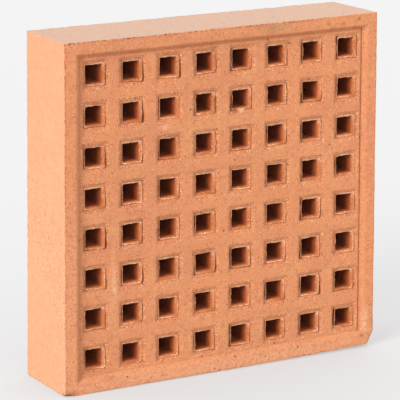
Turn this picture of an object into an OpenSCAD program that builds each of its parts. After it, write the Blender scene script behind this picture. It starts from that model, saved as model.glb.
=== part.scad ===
// Square terracotta air brick: one pressed and fired clay block with a raised border,
// a sunk panel and a grid of square air ways that run from front to back.
// Millimetres, +Z up. The pierced front looks along -Y, X runs across it, and the
// origin is on the ground under the middle of the block.

/* [Block] */
// Width of the front, along X
face_w = 215; // [170:1:300]
// Height of the front, along Z
face_h = 215; // [170:1:300]
// Thickness from front to back, along Y
depth = 51.5; // [30:0.5:100]
// Radius that the outer edges are worn to
arris_r = 0.8; // [0.2:0.1:2.5]

/* [Border and panel] */
// Width of the flat top of the raised border
border_w = 7.4; // [4:0.1:14]
// How far the panel lies below the border
panel_drop = 2.7; // [1:0.1:6]
// How far the border's inner wall leans in on its way down to the panel
wall_run = 2.5; // [0.5:0.1:4]

/* [Air ways] */
// Number of air ways across the front
columns = 8; // [2:1:8]
// Number of air ways up the front
rows = 8; // [2:1:8]
// Side of one square air way
way_w = 11; // [6:0.1:13]
// Width of the gently sloping funnel round each air way
funnel_run = 1.8; // [0.5:0.1:3]
// How far the funnel drops from the panel to its steeper lip
funnel_drop = 0.9; // [0.2:0.1:3]
// Width of the steeper lip between the funnel and the air way's straight walls
lip_run = 1.6; // [0.2:0.1:3]
// How far the lip drops from the funnel to the straight walls
lip_drop = 1.4; // [0.2:0.1:3]
// Flat strip between the outermost funnels and the foot of the border
edge_land = 1.75; // [0.5:0.05:6]

/* [Corner chip] */
// How far the chip at the lower front corner runs up the edge
chip_up = 9.5; // [3:0.5:14]
// How far it runs across the front
chip_across = 4.5; // [2:0.5:14]
// How far it runs back along the bottom
chip_back = 7; // [2:0.5:14]

/* [Hidden] */

overcut = 1;
round_fn = 48;
clay = "#e39a6c";

front_y = -depth / 2;
panel_y = front_y + panel_drop;
lip_y = panel_y + funnel_drop;
mouth_y = lip_y + lip_drop;

// Sizes of the panel, measured at its foot
panel_w = face_w - 2 * (border_w + wall_run);
panel_h = face_h - 2 * (border_w + wall_run);

// Side of the square round one air way at the top of its lip, and of the one its funnel takes out
lip_w = way_w + 2 * lip_run;
funnel_w = lip_w + 2 * funnel_run;

// The outermost funnels keep edge_land to the border, and the rest are spread evenly between them
pitch_x = (panel_w - 2 * edge_land - funnel_w) / (columns - 1);
pitch_z = (panel_h - 2 * edge_land - funnel_w) / (rows - 1);

// Rectangle centred on the origin, with its corners rounded by true arcs
module rounded_rectangle(w, h, r) {
    square([w - 2 * r, h], center = true);
    square([w, h - 2 * r], center = true);
    for (sx = [-1, 1], sy = [-1, 1])
        translate([sx * (w / 2 - r), sy * (h / 2 - r)])
            circle(r = r, $fn = round_fn);
}

// Extrudes a section drawn in X and Y along Z, over a length centred on the origin
module along_z(length) {
    linear_extrude(height = length, center = true) children();
}

// Extrudes a section drawn in X and Y along X, so that its own X becomes Z
module along_x(length) {
    rotate([0, -90, 0]) linear_extrude(height = length, center = true) children();
}

// Extrudes a section drawn in X and Y along Y, so that its own Y becomes Z
module along_y(length) {
    rotate([90, 0, 0]) linear_extrude(height = length, center = true) children();
}

// The plain block before pressing, every outer edge rounded, centred on the origin
module blank() {
    intersection() {
        along_y(depth) rounded_rectangle(face_w, face_h, arris_r);
        along_z(face_h) rounded_rectangle(face_w, depth, arris_r);
        along_x(face_w) rounded_rectangle(face_h, depth, arris_r);
    }
}

// Section of the sunk panel: w wide at its foot, with walls that lean out towards the front
module panel_section(w) {
    lean = wall_run / panel_drop;
    polygon([
        [-w / 2, panel_y],
        [w / 2, panel_y],
        [w / 2 + wall_run + overcut * lean, front_y - overcut],
        [-w / 2 - wall_run - overcut * lean, front_y - overcut]
    ]);
}

// The space over the sunk panel, down to the panel's face
module panel_space() {
    intersection() {
        along_z(face_h) panel_section(panel_w);
        along_x(face_w) panel_section(panel_h);
    }
}

// Section through one line of air ways: a gentle funnel, a steeper lip, then straight walls to the back
module way_section() {
    polygon([
        [-funnel_w / 2, front_y - overcut],
        [-funnel_w / 2, panel_y],
        [-lip_w / 2, lip_y],
        [-way_w / 2, mouth_y],
        [-way_w / 2, depth / 2 + overcut],
        [way_w / 2, depth / 2 + overcut],
        [way_w / 2, mouth_y],
        [lip_w / 2, lip_y],
        [funnel_w / 2, panel_y],
        [funnel_w / 2, front_y - overcut]
    ]);
}

// Every air way at once: upright slots crossed with level slots leave one square shaft at each crossing
module air_ways() {
    intersection() {
        along_z(face_h)
            for (column = [0 : columns - 1])
                translate([(column - (columns - 1) / 2) * pitch_x, 0]) way_section();
        along_x(face_w)
            for (row = [0 : rows - 1])
                translate([(row - (rows - 1) / 2) * pitch_z, 0]) way_section();
    }
}

// What has broken off the lower right front corner: everything outside a flat break across that corner
module chip() {
    break_out = [1 / chip_across, -1 / chip_back, -1 / chip_up];
    big = 3 * max(chip_across, chip_back, chip_up);
    translate([face_w / 2 - chip_across, front_y, -face_h / 2])
        rotate([0, acos(break_out[2] / norm(break_out)), atan2(break_out[1], break_out[0])])
            translate([-big, -big, 0]) cube(2 * big);
}

// The whole air brick, standing on its lower edge
module air_brick() {
    color(clay)
        translate([0, 0, face_h / 2])
            difference() {
                blank();
                panel_space();
                air_ways();
                chip();
            }
}

air_brick();
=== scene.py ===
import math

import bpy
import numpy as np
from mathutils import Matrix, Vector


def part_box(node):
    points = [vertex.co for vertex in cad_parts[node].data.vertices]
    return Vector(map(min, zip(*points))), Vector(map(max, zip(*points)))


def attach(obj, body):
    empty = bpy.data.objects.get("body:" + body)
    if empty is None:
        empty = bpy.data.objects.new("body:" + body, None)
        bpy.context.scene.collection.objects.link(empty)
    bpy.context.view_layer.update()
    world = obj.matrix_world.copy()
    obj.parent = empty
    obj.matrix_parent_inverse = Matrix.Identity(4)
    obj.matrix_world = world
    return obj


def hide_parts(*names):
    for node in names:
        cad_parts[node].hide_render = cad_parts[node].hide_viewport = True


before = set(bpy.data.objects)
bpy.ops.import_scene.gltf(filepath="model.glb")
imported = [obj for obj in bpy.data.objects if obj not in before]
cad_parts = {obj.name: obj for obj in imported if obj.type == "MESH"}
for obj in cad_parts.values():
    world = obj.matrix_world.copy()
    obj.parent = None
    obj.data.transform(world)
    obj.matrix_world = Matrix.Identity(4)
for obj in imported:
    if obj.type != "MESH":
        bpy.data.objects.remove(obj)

# Square terracotta air brick, one pressed and fired block of clay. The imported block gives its
# place and size. This script remodels its skin as one closed mesh, with the worn edges, the torn
# clay lips round the air ways, the chips and the slight twist that firing gives, and finishes it.
# Lengths are millimetres up to the point where the mesh is made, x across the front, y from the
# front to the back, z up from the floor.

MM = 0.001

# The block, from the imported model
LOW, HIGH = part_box("air_brick")
WIDTH, DEPTH, HEIGHT = ((HIGH - LOW) / MM)
FRONT_Y = LOW.y / MM
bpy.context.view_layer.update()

# The pressed front, the same sizes as the part's own source
BORDER = 7.4
WALL_RUN = 2.5
PANEL_DROP = 2.7
EDGE_LAND = 1.75
FUNNEL_RUN = 1.8
FUNNEL_DROP = 0.9
LIP_RUN = 1.6
LIP_DROP = 1.4
WAY = 11.0
LINES = 8

PANEL_IN = BORDER + WALL_RUN
HALF_WAY = WAY / 2
HALF_LIP = HALF_WAY + LIP_RUN
HALF_FUNNEL = HALF_LIP + FUNNEL_RUN
LIP_Y = PANEL_DROP + FUNNEL_DROP
MOUTH_Y = LIP_Y + LIP_DROP
PITCH_X = (WIDTH - 2 * (PANEL_IN + EDGE_LAND + HALF_FUNNEL)) / (LINES - 1)
PITCH_Z = (HEIGHT - 2 * (PANEL_IN + EDGE_LAND + HALF_FUNNEL)) / (LINES - 1)
# How far to the right of the block's own middle the die and its pins sat
DIE_SHIFT = 0.4

# Mesh steps along one side of a cell of the grid, and so along one side of a ring in it
STEPS = 12
ROUND = 4 * STEPS
# Distance in from the outer edge at which the grid of cells ends and the border's rings begin
GRID_IN = PANEL_IN + 0.9

# Where the random draws start. How far a pin stood from its place and its size, in mm, and how far
# it was turned, in radians
SEED = 41
PIN_WANDER = 0.05
PIN_TURN = 0.008

# How far each side's torn lip stands out at the least and at the most, and how deep the groove
# beside it is: bottom, right, top, left
LIP_LEAST = (0.1, 0.05, 0.1, 0.35)
LIP_MOST = (0.5, 0.6, 0.45, 0.85)
GROOVE_LEAST = (0.1, 0.1, 0.0, 0.2)
GROOVE_MOST = (0.7, 0.8, 0.3, 1.1)
# Half width of the square that the lip's crest runs round, and how much painted shade lies round
# the mouth, on each side
CREST = (6.5, 6.9, 6.6, 6.05)
SIDE_SHADE = (0.85, 0.7, 0.1, 0.6)
# Half width of the last ring before the mouth, depths of the rings down the walls, and the depth
# from which the walls carry the full painted shade
NEAR_MOUTH = 5.8
WALL_DEPTHS = (7.5, 12.0, 30.0)
DARK_FROM = 10

# How far the right side is torn outwards at the least and at the most. Some air ways are torn
# harder: by how much, and which ones, by column from the left and row from below, both from 0
TEAR_LEAST, TEAR_MOST = 0.1, 0.4
HARD_TEAR, HARD_GROOVE = 0.8, 0.7
TORN_RIGHT = {(1, 6), (2, 7), (1, 7), (0, 5), (0, 3), (0, 2), (1, 2), (3, 2), (6, 1)}
TORN_LEFT = {(4, 6), (6, 6), (7, 7)}

# Marks on the front, each with its place across and up, its half width and half height, what it
# looks like, how strongly, and how deep it is
MARKS = (
    # Marks that look like a groove are hollows darkened with painted shade
    # Pits in the border's top, right and bottom
    (72.5, 211.0, 1.0, 0.9, "groove", 1.0, 0.5),
    (76.5, 208.0, 0.9, 0.9, "groove", 1.0, 0.4),
    (83.0, 209.5, 1.1, 0.9, "groove", 1.0, 0.5),
    (94.5, 212.0, 1.0, 0.9, "groove", 0.9, 0.4),
    (99.0, 6.5, 1.0, 1.0, "groove", 1.0, 0.5),
    (-79.0, 8.0, 0.8, 0.7, "groove", 0.7, 0.3),
    (-76.0, 7.5, 0.8, 0.7, "groove", 0.7, 0.3),
    (-50.0, 3.5, 0.8, 0.7, "groove", 0.7, 0.3),
    (-42.0, 4.0, 0.8, 0.7, "groove", 0.7, 0.3),
    # The die's joint line between the first two columns, and its pale crest
    (-74.0, 70.0, 1.1, 22.0, "pale", 0.45, -0.3),
    (-73.5, 63.0, 1.2, 9.0, "pale", 1.0, -0.2),
    # Scuffs under an air way and on the right border
    (-39.0, 158.0, 4.0, 1.2, "pale", 0.9, -0.1),
    (101.5, 16.0, 1.6, 9.0, "pale", 0.9, 0.0),
    # A crumb stuck on an air way's lower rim, with a gap at its left
    (13.2, 162.7, 2.2, 1.4, "pale", 1.0, -1.8),
    (9.4, 162.7, 1.5, 1.5, "groove", 1.0, 1.2),
    # A rough, pitted rim at the right of another air way
    (-5.2, 170.5, 1.2, 1.4, "groove", 1.0, 0.6),
    (-4.8, 166.5, 1.1, 1.2, "groove", 0.9, 0.5),
    (-5.0, 174.0, 1.1, 1.0, "pale", 0.9, -0.3),
    (-6.0, 163.5, 1.2, 0.9, "groove", 0.8, 0.4),
    # Grey smudge near the top arris
    (34.5, 211.5, 7.5, 2.2, "smudge", 1.0, 0.0),
    # Red, broken foot of the left arris
    (-104.5, 1.0, 4.0, 1.6, "broken", 0.9, 0.5),
    # Rubbed, paler strips along the bottom border and the lower left border
    (0.0, 4.0, 130.0, 3.6, "pale", 0.4, 0.0),
    (-103.5, 50.0, 4.5, 60.0, "pale", 0.2, 0.0),
)

# How deep the crease is at the foot of the panel's right wall, which is darkened with painted
# shade, and how far to each side it reaches
FOOT_CREASE = 0.55
FOOT_REACH = 0.5
# How much painted shade lies on the top wall and the panel's foot below it, where the border shades
# them
WALL_SHADE = 0.25

# Corners broken off: where, how far along the face, towards the back and up, and how rough
CHIPS = (
    ((WIDTH / 2, 0, 0), 4.5, 7.0, 9.5, 0.25),
    ((-WIDTH / 2, 0, 0), 6.0, 2.5, 2.2, 0.3),
    ((-WIDTH / 2, 0, HEIGHT), 2.0, 2.0, 2.0, 0.3),
)
# How softly a break runs into the face beside it
BREAK_EASE = 0.12

# Usual radius of a worn arris, and how much it varies in long and in short swells
ARRIS_RADIUS, LONG_WEAR, SHORT_WEAR = 0.5, 0.2, 0.12
# Depth of the large and of the small bites out of the arrises
LARGE_BITE, SMALL_BITE = 0.3, 0.2

# Swell and grain in every face: height, width of a lump, and seed
HEAVES = ((0.16, 46.0, 11), (0.06, 11.0, 21), (0.045, 3.4, 31))

# Where firing left the corners, across and up, by side, back or front, and top or bottom
FIRED_CORNERS = {
    (-1, 0, 0): (-0.5, 0.1), (1, 0, 0): (1.6, 1.0),
    (-1, 0, 1): (0.8, 0.45), (1, 0, 1): (-0.05, 0.65),
    (-1, 1, 0): (-1.5, 0.0), (1, 1, 0): (1.4, 0.0),
    (-1, 1, 1): (0.9, -0.2), (1, 1, 1): (-0.3, -0.9),
}
# How far the front's lower edge curls up at its right end
LOW_EDGE_LIFT = 1.1

# The camera: lens in mm, the place it looks at, across and up, how many degrees it stands round to
# the right and up, how many metres away, and how many degrees it leans
LENS = 241.1
AIM_X, AIM_Z = -16.79, 111.43
CAMERA_ROUND, CAMERA_UP = -28.942, 14.594
CAMERA_AWAY = 1.61668
CAMERA_ROLL = 0.237

# How far the floor reaches each way, in metres, and how bright the paper walls and roof are
FLOOR_HALF = 6.0
PAPER_LOW, PAPER_HIGH = 2.1, 1.3


# ---------------------------------------------------------------- clay noise

# Large odd numbers that mix a place's three whole numbers and a seed, and the bits that are kept
MIX_X, MIX_Y, MIX_Z, MIX_SEED, MIX_AGAIN = 73856093, 19349663, 83492791, 374761393, 1274126177
KEPT_BITS = 0x7FFFFFFF
VALUE_BITS = 0xFFFF


def scatter(cell, seed):
    """One fixed value from -1 to 1 for each whole-numbered place."""
    x, y, z = cell.T
    mixed = x * MIX_X ^ y * MIX_Y ^ z * MIX_Z ^ seed * MIX_SEED
    mixed = (mixed ^ mixed >> 13) & KEPT_BITS
    mixed = mixed * MIX_AGAIN & KEPT_BITS
    return (mixed >> 9 & VALUE_BITS) / (VALUE_BITS / 2) - 1


def clay_noise(points, grain, seed):
    """Smooth noise from -1 to 1 at each point, with lumps about as wide as grain."""
    scaled = np.asarray(points) / grain
    cell = np.floor(scaled).astype(np.int64)
    part = scaled - cell
    part = part * part * (3 - 2 * part)
    total = np.zeros(len(scaled))
    for corner in range(8):
        step = np.array([corner & 1, corner >> 1 & 1, corner >> 2 & 1])
        weight = np.prod(np.where(step, part, 1 - part), axis=1)
        total += weight * scatter(cell + step, seed)
    return total


def smooth(value, low, high):
    """0 below low, 1 above high, and an even curve between."""
    part = np.clip((np.asarray(value) - low) / (high - low), 0, 1)
    return part * part * (3 - 2 * part)


# ---------------------------------------------------------------- the skin, ring by ring

class Skin:
    """Points and faces of the block's surface, and what the clay looks like at each point, with its
    painted shade and highlight.
    """

    LOOKS = ("throat", "burnt", "lip", "groove", "worn")

    def __init__(self):
        self.points = []
        self.looks = []
        self.faces = []
        self.count = 0

    def ring(self, x, y, z, **looks):
        """Adds one row of points and returns their numbers."""
        row = np.stack(np.broadcast_arrays(x, y, z), axis=1).astype(float)
        look = [np.broadcast_to(looks.get(name, 0.0), len(row)) for name in self.LOOKS]
        self.points.append(row)
        self.looks.append(np.stack(look, axis=1))
        self.count += len(row)
        return np.arange(self.count - len(row), self.count)

    def bridge(self, one, other):
        """Joins two closed rings of as many points with quads."""
        self.faces += np.stack([one, np.roll(one, -1), np.roll(other, -1), other], axis=1).tolist()

    def refine(self, coarse, fine):
        """Joins a closed ring to a ring outside it that has twice its points."""
        after = np.roll(coarse, -1)
        here, middle = fine[0::2], fine[1::2]
        there = np.roll(here, -1)
        for fan in ([coarse, middle, here], [coarse, after, middle], [after, there, middle]):
            self.faces += np.stack(fan, axis=1).tolist()

    def coarsen(self, fine, coarse):
        """Joins a closed ring to a ring outside it that has half its points."""
        after = np.roll(coarse, -1)
        here, middle = fine[0::2], fine[1::2]
        there = np.roll(here, -1)
        for fan in ([here, middle, coarse], [middle, after, coarse], [middle, there, after]):
            self.faces += np.stack(fan, axis=1).tolist()


def square_ring(steps):
    """Directions round a square: along its bottom from the left, up its right side, and on."""
    run = -1 + 2 * np.arange(steps) / steps
    full = np.ones(steps)
    return np.concatenate([run, full, -run, -full]), np.concatenate([-full, run, full, -run])


# ---------------------------------------------------------------- the grid of air ways

def grid_lines(pitch, edge):
    """Places of the mesh lines across the grid of cells, from -edge to edge."""
    cell_edges = np.concatenate(([-edge], (np.arange(1, LINES) - LINES / 2) * pitch, [edge]))
    return np.interp(np.arange(LINES * STEPS + 1) / STEPS, np.arange(LINES + 1), cell_edges)


GRID_X = grid_lines(PITCH_X, WIDTH / 2 - GRID_IN)
GRID_Z = grid_lines(PITCH_Z, HEIGHT / 2 - GRID_IN)
ROUND_U, ROUND_V = square_ring(STEPS)


def lay_grid(skin, y):
    """Adds the lines between the cells as points at depth y, and gives their numbers by place."""
    along = range(LINES * STEPS + 1)
    places = [(a, b) for a in along for b in along if a % STEPS == 0 or b % STEPS == 0]
    a, b = np.array(places).T
    return dict(zip(places, skin.ring(GRID_X[a], y, GRID_Z[b] + HEIGHT / 2)))


def walk(grid, a, b, size):
    """Numbers of the grid's points round a square of that size with its lower left at (a, b)."""
    along = range(size)
    path = [(a + k, b) for k in along] + [(a + size, b + k) for k in along]
    path += [(a + size - k, b + size) for k in along] + [(a, b + size - k) for k in along]
    return np.array([grid[place] for place in path])


def side_shares():
    """How much each point round an air way belongs to its bottom, right, top and left side."""
    shares = np.stack([-ROUND_V, ROUND_U, ROUND_V, -ROUND_U]).clip(0, 1) ** 6
    return (shares / shares.sum(axis=0)).T


SIDES = side_shares()


def torn(rng, rough):
    """A ragged line round one air way, as a value for each of its points."""
    own, beside, most = 0.55, 0.3, 1.6
    raw = rng.normal(size=ROUND)
    eased = own * raw + beside * np.roll(raw, 1) + beside * np.roll(raw, -1)
    return rough * np.clip(eased, -most, most)


def fading(rng):
    """From 0 to 1 and back round one air way, a few times, as a torn line comes and goes."""
    knots = rng.uniform(-0.3, 1.3, 9)
    knots[-1] = knots[0]
    spans = len(knots) - 1
    return np.interp(np.arange(ROUND) / ROUND * spans, np.arange(len(knots)), knots).clip(0, 1)


def funnel_depth(half):
    """Depth of the funnel and of the steeper lip inside it, at that half width."""
    return np.interp(half, (HALF_WAY, HALF_LIP, HALF_FUNNEL), (MOUTH_Y, LIP_Y, PANEL_DROP))


def air_way(skin, front_grid, back_grid, column, row, rng):
    """One air way: its funnel, the torn lip and groove at its mouth, its walls and back end."""
    middle = (LINES - 1) / 2
    at_x = (column - middle) * PITCH_X + rng.normal(0, PIN_WANDER)
    at_z = HEIGHT / 2 + (row - middle) * PITCH_Z + rng.normal(0, PIN_WANDER)
    turn = rng.normal(0, PIN_TURN)
    mouth = HALF_WAY + rng.normal(0, PIN_WANDER)
    right, top, left = SIDES.T[1:]

    # The pin that made the way dragged the clay with it, most of all on its left side: how far each
    # side's lip stands out, how deep the groove beside it is, and a tear at the right, wider below
    lip = SIDES @ rng.uniform(LIP_LEAST, LIP_MOST)
    groove = SIDES @ rng.uniform(GROOVE_LEAST, GROOVE_MOST)
    groove = groove + HARD_GROOVE * left * ((column, row) in TORN_LEFT)
    tear = rng.uniform(TEAR_LEAST, TEAR_MOST) + HARD_TEAR * ((column, row) in TORN_RIGHT)
    tear = tear * right * (1 - ROUND_V) / 2
    lip = lip * (1 + torn(rng, 0.5)).clip(0.1, 2)
    groove = (groove * fading(rng) + 1.3 * tear) * (1 + torn(rng, 0.3)).clip(0.2, 1.6)
    # Where a painted highlight lies along the lip's crest, most on the left side
    crest_highlight = np.maximum(fading(rng), 0.8 * left) * (1 - 0.5 * right)
    ragged = torn(rng, 0.2)

    # The groove on the left is wider and deeper towards the block's right
    wide = 1 + left * (0.4 + 0.2 * column)
    groove = groove * (1 + 0.08 * column * left)
    crest = SIDES @ CREST + torn(rng, 0.1)
    # Painted shade round the mouth, by side
    burnt = SIDES @ SIDE_SHADE

    def square(half, depth, corner=0.0, **looks):
        """A ring round the way at that half width and depth, its corners drawn in by corner."""
        half = half * (1 - corner * np.minimum(abs(ROUND_U), abs(ROUND_V)) ** 8)
        u, v = ROUND_U * half, ROUND_V * half
        return skin.ring(at_x + u - turn * v, depth, at_z + v + turn * u, **looks)

    def dragged(out, raised, sunk, **looks):
        """A ring that far out from the lip's crest, moved by those shares of lip and groove."""
        half = crest + out
        return square(half, funnel_depth(half) - raised * lip + sunk * groove, 0.015, **looks)

    # The front's grid was laid first, so its points are the skin's first row
    border = walk(front_grid, column * STEPS, row * STEPS, STEPS)
    edge = skin.points[0][border]
    mid_x = (edge[:, 0] + at_x + ROUND_U * HALF_FUNNEL) / 2
    mid_z = (edge[:, 2] + at_z + ROUND_V * HALF_FUNNEL) / 2
    in_funnel = HALF_FUNNEL - 0.3
    rings = [
        border,
        skin.ring(mid_x, PANEL_DROP, mid_z),
        # The funnel's worn rim, with painted shade that is strongest on its top side
        square(HALF_FUNNEL + 0.35, PANEL_DROP, worn=0.6),
        square(HALF_FUNNEL, PANEL_DROP + 0.06, burnt=0.1 + 0.25 * top, worn=0.8),
        square(in_funnel, funnel_depth(in_funnel), burnt=0.15 + 0.15 * top, worn=1.0),
        # The groove beside the lip, darkened with painted shade
        dragged(0.65 * wide + tear, 0.0, 0.1,
                groove=(0.1 + 0.2 * left) * groove, burnt=0.3 * burnt, worn=1.0),
        dragged(0.42 * wide + 0.9 * tear, 0.0, 1.0, groove=1.4 * groove, burnt=burnt),
        dragged(0.2 + 0.6 * tear, 0.3, 0.8, groove=1.4 * groove, burnt=burnt),
        # The lip's crest and its slope into the mouth, with painted shade and a painted highlight
        # along the crest and on the mouth's top side
        dragged(0.0, 1.0, 0.0, lip=crest_highlight, worn=1.0, burnt=0.7 * burnt),
        dragged(-0.25, 0.7, 0.0, lip=0.6 * crest_highlight, burnt=burnt),
        square(NEAR_MOUTH, funnel_depth(NEAR_MOUTH) - 0.1 * lip, 0.02,
               worn=1.0, burnt=burnt, lip=top),
        # The ragged mouth, in painted shade, with a faint painted highlight on its top side
        square(mouth + 0.12 + ragged, MOUTH_Y - 0.1, 0.03, burnt=0.2 + 0.8 * burnt, lip=0.4 * top),
        square(mouth + 0.5 * ragged, MOUTH_Y + 0.5, 0.03, burnt=0.9, throat=0.2),
    ]
    # The walls, in painted shade that grows darker with depth
    for depth in WALL_DEPTHS:
        dark = min(1.0, depth / DARK_FROM)
        rings.append(square(mouth, depth, 0.03, burnt=1.0, throat=dark))
    rings += [
        # Painted shade fading out towards the back
        square(mouth, DEPTH - 3.0, 0.03, burnt=0.6),
        square(mouth, DEPTH - 0.8, 0.03, burnt=0.3),
        # The way's slightly widened end in the back
        square(mouth + 0.15, DEPTH - 0.15, 0.03),
        square(mouth + 0.9, DEPTH, 0.02),
        walk(back_grid, column * STEPS, row * STEPS, STEPS),
    ]
    for one, other in zip(rings, rings[1:]):
        skin.bridge(one, other)


# ---------------------------------------------------------------- the border, sides and back

def round_block(lines, inset, stretch):
    """A ring round the block that far in from its edge, stretch times as fine as the grid."""
    steps = LINES * STEPS * stretch
    along = np.interp(np.arange(steps + 1) / stretch, np.arange(len(lines)), lines / lines[-1])
    run, full = along[:-1], np.ones(steps)
    back = along[:0:-1]
    u = np.concatenate([run, full, back, -full])
    v = np.concatenate([-full, run, full, back])
    return u * (WIDTH / 2 - inset), v * (HEIGHT / 2 - inset) + HEIGHT / 2


def outer_skin(skin, front_grid, back_grid):
    """The panel's wall, the border, the arrises, the sides and the plain strip round the back."""
    wall = [(BORDER + WALL_RUN * share, PANEL_DROP * share) for share in (0.85, 0.5, 0.18)]
    # Distance in from the outer edge, depth, and fineness of each ring, from the panel's foot out
    rows = [(PANEL_IN + 0.35, PANEL_DROP + 0.03, 1), (PANEL_IN, PANEL_DROP + 0.12, 1)]
    rows += [(inset, depth, 1) for inset, depth in wall]
    rows += [(BORDER + 0.05, 0.14, 1), (BORDER - 0.4, 0.0, 1)]
    # Finest round the front arris, where the bites are
    rows += [(inset, 0.0, 2) for inset in (6.1, 4.9, 3.7, 2.7)]
    rows += [(inset, 0.0, 4) for inset in (1.7, 1.1, 0.6, 0.25, 0.0)]
    rows += [(0.0, depth, 4) for depth in (0.25, 0.6, 1.1, 1.9, 3.4, 6.0)]
    rows += [(0.0, depth, 2) for depth in (9.0, 13.0, 17.5, 22.5, 27.5, 32.5, 37.5, 42.0, 45.8)]
    rows += [(0.0, DEPTH - rest, 2) for rest in (3.2, 1.6, 0.9, 0.45, 0.15)]
    rows += [(inset, DEPTH, 2) for inset in (0.0, 0.3, 0.8, 1.6)]
    rows += [(3.2, DEPTH, 1), (6.5, DEPTH, 1)]

    # From the back to the front, so that every face looks outwards
    size = LINES * STEPS
    last, last_fine = walk(back_grid, 0, 0, size), 1
    for inset, depth, fine in reversed(rows):
        x, z = round_block(GRID_X, inset, fine)
        at_foot = max(0.0, 1 - abs(inset - PANEL_IN) / FOOT_REACH)
        outline = inset + 0.01
        crease = at_foot * (x > WIDTH / 2 - outline)
        shaded = WALL_SHADE * (BORDER < inset) * (z > HEIGHT - outline)
        # Painted shade in the crease at the right wall's foot, and on the top wall and the strip
        # below it in the border's shadow
        ids = skin.ring(x, depth + FOOT_CREASE * crease, z, groove=0.7 * crease, burnt=shaded)
        if fine == last_fine:
            skin.bridge(last, ids)
        elif fine > last_fine:
            skin.refine(last, ids)
        else:
            skin.coarsen(last, ids)
        last, last_fine = ids, fine
    skin.bridge(last, walk(front_grid, 0, 0, size))


# ---------------------------------------------------------------- wear, chips and twist

def reach_out(points, inset):
    """How far each point stands outside the block shrunk by inset, along x, y and z."""
    low = np.stack([-WIDTH / 2 + inset, inset, inset], axis=1)
    high = np.stack([WIDTH / 2 - inset, DEPTH - inset, HEIGHT - inset], axis=1)
    return points - np.clip(points, low, high)


def edge_distance(points):
    """Distance from each point to the nearest of the block's twelve edges, along its own face."""
    x, y, z = points.T
    gaps = np.stack([WIDTH / 2 - abs(x), np.minimum(y, DEPTH - y), np.minimum(z, HEIGHT - z)])
    return np.sort(gaps, axis=0)[1]


def worn_edges(points, broken):
    """Rounds the arrises unevenly, and crumbles small bites out of them."""
    radius = ARRIS_RADIUS + LONG_WEAR * clay_noise(points, 17.0, 1)
    radius = radius + SHORT_WEAR * clay_noise(points, 5.0, 2)
    out = reach_out(points, radius)
    length = np.linalg.norm(out, axis=1).clip(1e-6)
    pull = np.minimum(1, radius / length) - 1
    near = 1 - smooth(edge_distance(points), 0.3, 2.4)
    bite = LARGE_BITE * smooth(clay_noise(points, 2.6, 3), 0.2, 0.7)
    bite = bite + SMALL_BITE * smooth(clay_noise(points, 1.2, 4), 0.0, 0.5)
    bite *= smooth(clay_noise(points, 14.0, 5), -0.8, 0.2)
    # The right arrises kept most of their edge
    kept = 0.8 * smooth(points[:, 0], WIDTH / 2 - 3, WIDTH / 2 - 1)
    bite = bite * near * (length > 1e-3) * (1 - kept)
    points += out * pull[:, None] - out / length[:, None] * bite[:, None]
    broken[:] = np.maximum(broken, 0.7 * smooth(bite, 0.1, 0.4))


def chip(points, broken, corner, across, back, up, rough, seed):
    """Breaks a corner off along the plane through points that far from it along the three edges."""
    inwards = np.array([-np.sign(corner[0]), 1.0, 1.0 if corner[2] == 0 else -1.0])
    normal = -inwards / (across, back, up)
    reach = 1 / np.linalg.norm(normal)
    normal *= reach
    over = (points - corner) @ normal + reach
    over += rough * (clay_noise(points, 2.6, seed) + 0.6 * clay_noise(points, 1.1, seed + 1))
    taken = (over + np.sqrt(over * over + BREAK_EASE)) / 2
    taken *= smooth(over, -1.2, 0.2)
    points -= normal * taken[:, None]
    broken[:] = np.maximum(broken, smooth(over, -0.1, 0.6))


def mark(points, looks, across, up, half_wide, half_high, look, strength, deep):
    """Presses one mark into the front, or raises it, and gives it its look."""
    x, y, z = points.T
    near = np.exp(-((x - across) / half_wide) ** 2 - ((z - up) / half_high) ** 2)
    near = near * (1 - smooth(y, 4, 6))
    looks[look] = np.maximum(looks[look], strength * near)
    points[:, 1] += deep * near


def heave(points):
    """The slow swell and the fine grain that pressing and firing leave in every face."""
    for swell, grain, seed in HEAVES:
        for axis in range(3):
            points[:, axis] += swell * clay_noise(points, grain, seed + axis)


def twist(points):
    """Moves the block's corners to where firing left them, and everything between evenly."""
    x, y, z = points.T
    shift = np.zeros((len(points), 2))
    for (side, depth, level), offset in FIRED_CORNERS.items():
        share_x = x / WIDTH + 0.5 if side > 0 else 0.5 - x / WIDTH
        share_y = y / DEPTH if depth else 1 - y / DEPTH
        share_z = z / HEIGHT if level else 1 - z / HEIGHT
        shift += (share_x * share_y * share_z)[:, None] * offset
    lift = LOW_EDGE_LIFT * smooth(x, 50, WIDTH / 2)
    lift = lift * (1 - smooth(z, 0, 25)) * (1 - smooth(y, 0, 30))
    points[:, 0] += shift[:, 0]
    points[:, 2] = np.maximum(points[:, 2] + shift[:, 1] + lift, 0)


def mesh_object(name, points, faces, material, looks=()):
    """Makes a smooth mesh object from points in the block's millimetres, with its looks by name."""
    mesh = bpy.data.meshes.new(name)
    placed = (points + (0, FRONT_Y, 0)) * MM
    mesh.from_pydata(placed.tolist(), [], faces)
    mesh.polygons.foreach_set("use_smooth", [True] * len(mesh.polygons))
    for look, values in looks:
        mesh.attributes.new(look, "FLOAT", "POINT").data.foreach_set("value", values)
    mesh.materials.append(material)
    made = bpy.data.objects.new(name, mesh)
    bpy.context.scene.collection.objects.link(made)
    return made


def distance_in(points):
    """How far each point is in from the block's outline, seen from the front."""
    x, _, z = points.T
    return np.min([WIDTH / 2 - abs(x), z, HEIGHT - z], axis=0)


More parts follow.
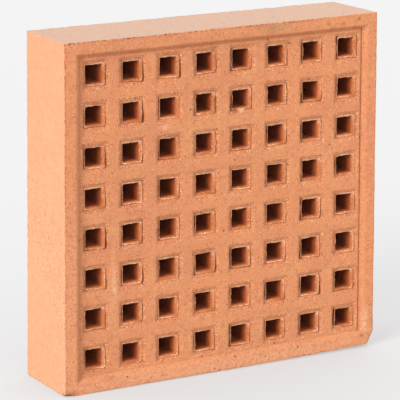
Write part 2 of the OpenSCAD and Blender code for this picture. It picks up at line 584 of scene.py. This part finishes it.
def face_looks(points, inset):
    """The painted sheen on the sides and top, and what the clay looks like along the arrises,
    before any wear.
    """
    x, y, z = points.T
    behind_front = smooth(y, 0.05, 0.5)
    gap = np.minimum(inset, DEPTH - y)
    from_arris = np.minimum(y, DEPTH - y) + inset
    on_left = smooth(-x, WIDTH / 2 - 3, WIDTH / 2 - 1) * (1 - smooth(z, HEIGHT - 2, HEIGHT - 1))
    patches = smooth(clay_noise(points, 16.0, 6) - 0.004 * x, -0.6, 0.3)
    along_arris = (1 - smooth(from_arris, 0.3, 1.5)) * smooth(z, 1, 4)
    return {
        # Painted sheen: paler on the sides, bed and back, and greyer on the top
        "outside": (1 - smooth(gap, 0.1, 0.5)) * behind_front,
        "top": (1 - smooth(HEIGHT - z, 0.1, 0.5)) * behind_front,
        "arris": along_arris * (1 - 0.5 * on_left) * patches,
    }


def pressed_block(material):
    """The whole block as one closed mesh."""
    skin = Skin()
    front_grid = lay_grid(skin, PANEL_DROP)
    back_grid = lay_grid(skin, DEPTH)
    rng = np.random.default_rng(SEED)
    for column in range(LINES):
        for row in range(LINES):
            air_way(skin, front_grid, back_grid, column, row, rng)
    outer_skin(skin, front_grid, back_grid)

    points = np.concatenate(skin.points)
    inset = distance_in(points)
    looks = dict(zip(skin.LOOKS, np.concatenate(skin.looks).T))
    looks.update(face_looks(points, inset))
    looks.update((look, np.zeros(len(points))) for look in ("broken", "pale", "smudge"))

    points[:, 0] += DIE_SHIFT * smooth(inset, 3.5, 7.0)
    worn_edges(points, looks["broken"])
    for number, (corner, across, back, up, rough) in enumerate(CHIPS):
        chip(points, looks["broken"], corner, across, back, up, rough, 50 + 2 * number)
    for one in MARKS:
        mark(points, looks, *one)
    heave(points)
    twist(points)
    return mesh_object("pressed_block", points, skin.faces, material, looks.items())


# ---------------------------------------------------------------- materials

# The colour sockets of a Mix node, which has others of the same names
COLOUR_A, COLOUR_B, COLOUR_OUT = 6, 7, 2


def linear(code):
    """An sRGB hex value as a linear colour with full alpha."""
    parts = [int(code[k:k + 2], 16) / 255 for k in (1, 3, 5)]
    return [c / 12.92 if c <= 0.04045 else ((c + 0.055) / 1.055) ** 2.4 for c in parts] + [1.0]


def per_metre(size_mm):
    """Texture scale that gives a pattern whose grains are that many millimetres across."""
    return 1 / (size_mm * MM)


def add(tree, kind, settings, inputs):
    """Adds a shader node with its settings, and sets or links each of its named inputs."""
    made = tree.nodes.new("ShaderNode" + kind)
    for name, value in settings.items():
        setattr(made, name, value)
    for name, value in inputs.items():
        if isinstance(value, bpy.types.NodeSocket):
            tree.links.new(value, made.inputs[name])
        else:
            made.inputs[name].default_value = value
    return made


def new_material(name):
    """An empty node material and its tree."""
    material = bpy.data.materials.new(name)
    material.use_nodes = True
    material.node_tree.nodes.clear()
    return material, material.node_tree


CLAY = "#b6764f"
# Mottling of the clay: size in mm, detail, the part of the noise that shows, strength and colour
CLAY_TONES = (
    (38.0, 3.0, 0.42, 0.66, 0.50, "#ab6d4c"),
    (16.0, 3.0, 0.50, 0.72, 0.45, "#ba8455"),
    (5.5, 3.0, 0.48, 0.70, 0.45, "#a76544"),
    (2.6, 2.0, 0.48, 0.68, 0.35, "#a45e42"),
    (1.1, 2.0, 0.50, 0.70, 0.50, "#bf8c66"),
)
# Grains and voids: spacing and width in mm, share that shows, colour, strength and height in mm:
# pale sand, little dark pits that sand has dropped out of, and now and then a larger void. Real
# sand here is 0.3 to 0.6 mm across and is drawn about half as wide again, so that it shows
GRAINS = (
    (1.5, 0.7, 0.14, "#d8b08a", 0.65, 0.05),
    (1.3, 0.8, 0.24, "#7c3d24", 0.70, -0.15),
    (7.5, 1.4, 0.25, "#642b16", 0.80, -0.40),
)
# Shares of a grain's width out to which it shows fully, and at which it has faded away
GRAIN_FULL, GRAIN_GONE = 0.25, 0.6
# Fine grit all over: size and height in mm
GRIT_SIZE, GRIT_HEIGHT = 1.3, 0.22
# Looks painted by the mesh: its name, the size in mm of the noise it is patchy by, the part of the
# noise over which it comes in, how much of it shows everywhere, strength and colour
PAINTED = (
    # Painted sheen: a paler tint on the sides, bed and back, and a greyer one on the top
    ("outside", 4.0, 0.25, 0.60, 0.6, 0.45, "#b08a6e"),
    ("top", 4.0, 0.25, 0.60, 0.6, 0.80, "#938174"),
    # Painted shade in the air ways' mouths and walls, on the funnels' top sides, and on the top
    # wall and the strip below it
    ("burnt", 4.0, 0.25, 0.60, 0.7, 0.95, "#964a19"),
    ("pale", 2.2, 0.40, 0.60, 0.4, 0.80, "#cfa483"),
    ("smudge", 1.6, 0.40, 0.58, 0.2, 0.65, "#6a6a4e"),
    ("worn", 0.9, 0.58, 0.63, 0.0, 0.40, "#e2bb94"),
    ("worn", 0.7, 0.57, 0.62, 0.0, 0.70, "#74391f"),
    # A painted highlight along the lips' crests and the mouths' top sides
    ("lip", 1.4, 0.44, 0.56, 0.3, 0.95, "#e4bd9c"),
    # Painted shade in the grooves beside the lips, in the crease at the right wall's foot, and in
    # pits
    ("groove", 4.0, 0.25, 0.60, 0.6, 0.85, "#73391d"),
    ("broken", 4.0, 0.25, 0.60, 0.6, 0.90, "#682e18"),
    ("arris", 1.0, 0.51, 0.57, 0.0, 0.90, "#743820"),
)
# The same for the painted shade that darkens the walls deep in an air way, laid over the grains
# too, which nobody sees there
DEEP = (
    ("throat", 4.0, 0.25, 0.60, 0.8, 0.95, "#743016"),
)


def paint(tree, place, colour, looks):
    """Lays each look painted by the mesh over the colour, patchily, and gives the new colour."""
    for look, size, low, high, least, strength, tone in looks:
        painted = add(tree, "Attribute", {"attribute_name": look}, {})
        uneven = add(tree, "TexNoise", {}, {
            "Vector": place, "Scale": per_metre(size), "Detail": 4.0})
        patchy = add(tree, "MapRange", {}, {
            "Value": uneven.outputs["Fac"], "From Min": low, "From Max": high,
            "To Min": least * strength, "To Max": strength})
        share = add(tree, "Math", {"operation": "MULTIPLY", "use_clamp": True}, {
            0: painted.outputs["Fac"], 1: patchy.outputs["Result"]})
        mixed = add(tree, "Mix", {"data_type": "RGBA"}, {
            "Factor": share.outputs[0], COLOUR_A: colour, COLOUR_B: linear(tone)})
        colour = mixed.outputs[COLOUR_OUT]
    return colour


def terracotta():
    """Pressed terracotta, fired without glaze: a dull, porous orange clay with sandy grains and
    little voids, redder where it is broken. Paler on its sides and top by painted sheen, with
    painted shade in its hollows and air ways and painted highlights on the lips' crests."""
    material, tree = new_material("pressed_fired_terracotta")
    place = add(tree, "TexCoord", {}, {}).outputs["Object"]
    colour = linear(CLAY)
    for size, detail, low, high, strength, tone in CLAY_TONES:
        mottle = add(tree, "TexNoise", {}, {
            "Vector": place, "Scale": per_metre(size), "Detail": detail})
        share = add(tree, "MapRange", {}, {
            "Value": mottle.outputs["Fac"], "From Min": low, "From Max": high, "To Max": strength})
        mixed = add(tree, "Mix", {"data_type": "RGBA"}, {
            "Factor": share.outputs["Result"], COLOUR_A: colour, COLOUR_B: linear(tone)})
        colour = mixed.outputs[COLOUR_OUT]
    colour = paint(tree, place, colour, PAINTED)

    heights = []
    for spacing, width, shown, tone, strength, height in GRAINS:
        cells = add(tree, "TexVoronoi", {}, {"Vector": place, "Scale": per_metre(spacing)})
        spot = add(tree, "MapRange", {}, {
            "Value": cells.outputs["Distance"], "From Min": GRAIN_FULL * width / spacing,
            "From Max": GRAIN_GONE * width / spacing, "To Min": 1.0, "To Max": 0.0})
        chance = add(tree, "SeparateColor", {}, {"Color": cells.outputs["Color"]})
        chosen = add(tree, "Math", {"operation": "LESS_THAN"}, {0: chance.outputs["Red"], 1: shown})
        shows = add(tree, "Math", {"operation": "MULTIPLY"}, {
            0: spot.outputs["Result"], 1: chosen.outputs[0]})
        share = add(tree, "Math", {"operation": "MULTIPLY"}, {0: shows.outputs[0], 1: strength})
        mixed = add(tree, "Mix", {"data_type": "RGBA"}, {
            "Factor": share.outputs[0], COLOUR_A: colour, COLOUR_B: linear(tone)})
        colour = mixed.outputs[COLOUR_OUT]
        heights.append((shows.outputs[0], height))
    colour = paint(tree, place, colour, DEEP)

    grit = add(tree, "TexNoise", {}, {
        "Vector": place, "Scale": per_metre(GRIT_SIZE), "Detail": 3.0})
    heights.append((grit.outputs["Fac"], GRIT_HEIGHT))
    normal = None
    for relief, reach in heights:
        inputs = {"Height": relief, "Distance": abs(reach) * MM, "Strength": 1.0}
        if normal:
            inputs["Normal"] = normal
        normal = add(tree, "Bump", {"invert": reach < 0}, inputs).outputs["Normal"]

    skin = add(tree, "BsdfPrincipled", {}, {
        "Base Color": colour, "Roughness": 0.92, "Specular IOR Level": 0.25, "IOR": 1.5,
        "Diffuse Roughness": 0.6, "Normal": normal})
    add(tree, "OutputMaterial", {}, {"Surface": skin.outputs["BSDF"]})
    return material


def light_table():
    """Matt white acrylic lit faintly from below, so that it has no shine and shadows stay pale."""
    material, tree = new_material("backlit_matt_acrylic")
    skin = add(tree, "BsdfPrincipled", {}, {
        "Base Color": linear("#808080"), "Roughness": 0.9, "Specular IOR Level": 0.1,
        "Emission Color": linear("#ffffff"), "Emission Strength": 0.45})
    add(tree, "OutputMaterial", {}, {"Surface": skin.outputs["BSDF"]})
    return material


# ---------------------------------------------------------------- the studio

def direction(azimuth, elevation):
    """Unit vector away from the block, that many degrees round to its right and up."""
    turned, up = math.radians(azimuth), math.radians(elevation)
    across = math.cos(up)
    return Vector((math.sin(turned) * across, -math.cos(turned) * across, math.sin(up)))


def soft_light(name, azimuth, elevation, spread, strength):
    """An even light on everything, from a patch of that many degrees across in that direction."""
    light = bpy.data.lights.new(name, "SUN")
    light.angle = math.radians(spread)
    light.energy = strength
    made = bpy.data.objects.new(name, light)
    made.rotation_euler = direction(azimuth, elevation).to_track_quat("Z", "Y").to_euler()
    bpy.context.scene.collection.objects.link(made)


def camera():
    """Long lens from the left and a little above, level but for a hair."""
    lens = bpy.data.cameras.new("camera")
    lens.sensor_width = 36.0
    lens.lens = LENS
    made = bpy.data.objects.new("camera", lens)
    target = Vector((AIM_X, FRONT_Y, AIM_Z)) * MM
    towards = direction(CAMERA_ROUND, CAMERA_UP)
    lean = Matrix.Rotation(math.radians(CAMERA_ROLL), 3, "Z")
    turn = towards.to_track_quat("Z", "Y").to_matrix() @ lean
    made.matrix_world = Matrix.Translation(target + towards * CAMERA_AWAY) @ turn.to_4x4()
    bpy.context.scene.collection.objects.link(made)
    bpy.context.scene.camera = made


def studio():
    """A pale lit table under the block, soft light from its left, and an even fill."""
    corners = [(x, y, 0.0) for x, y in ((-1, -1), (1, -1), (1, 1), (-1, 1))]
    reach = FLOOR_HALF / MM
    floor = mesh_object("floor", np.array(corners) * reach, [(0, 1, 2, 3)], light_table())
    soft_light("key_light", azimuth=-66, elevation=20, spread=24, strength=3.6)

    # Paper walls all round, lighter than the paper roof
    world = bpy.data.worlds.new("studio_fill")
    world.use_nodes = True
    tree = world.node_tree
    way = add(tree, "TexCoord", {}, {}).outputs["Generated"]
    up = add(tree, "SeparateXYZ", {}, {"Vector": way}).outputs["Z"]
    paper = add(tree, "MapRange", {}, {"Value": up, "To Min": PAPER_LOW, "To Max": PAPER_HIGH})
    tree.nodes["Background"].inputs["Color"].default_value = linear("#ffffff")
    tree.links.new(paper.outputs["Result"], tree.nodes["Background"].inputs["Strength"])
    bpy.context.scene.world = world
    bpy.context.scene.view_settings.view_transform = "Standard"


block = pressed_block(terracotta())
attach(block, "root")
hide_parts("air_brick")
camera()
studio()
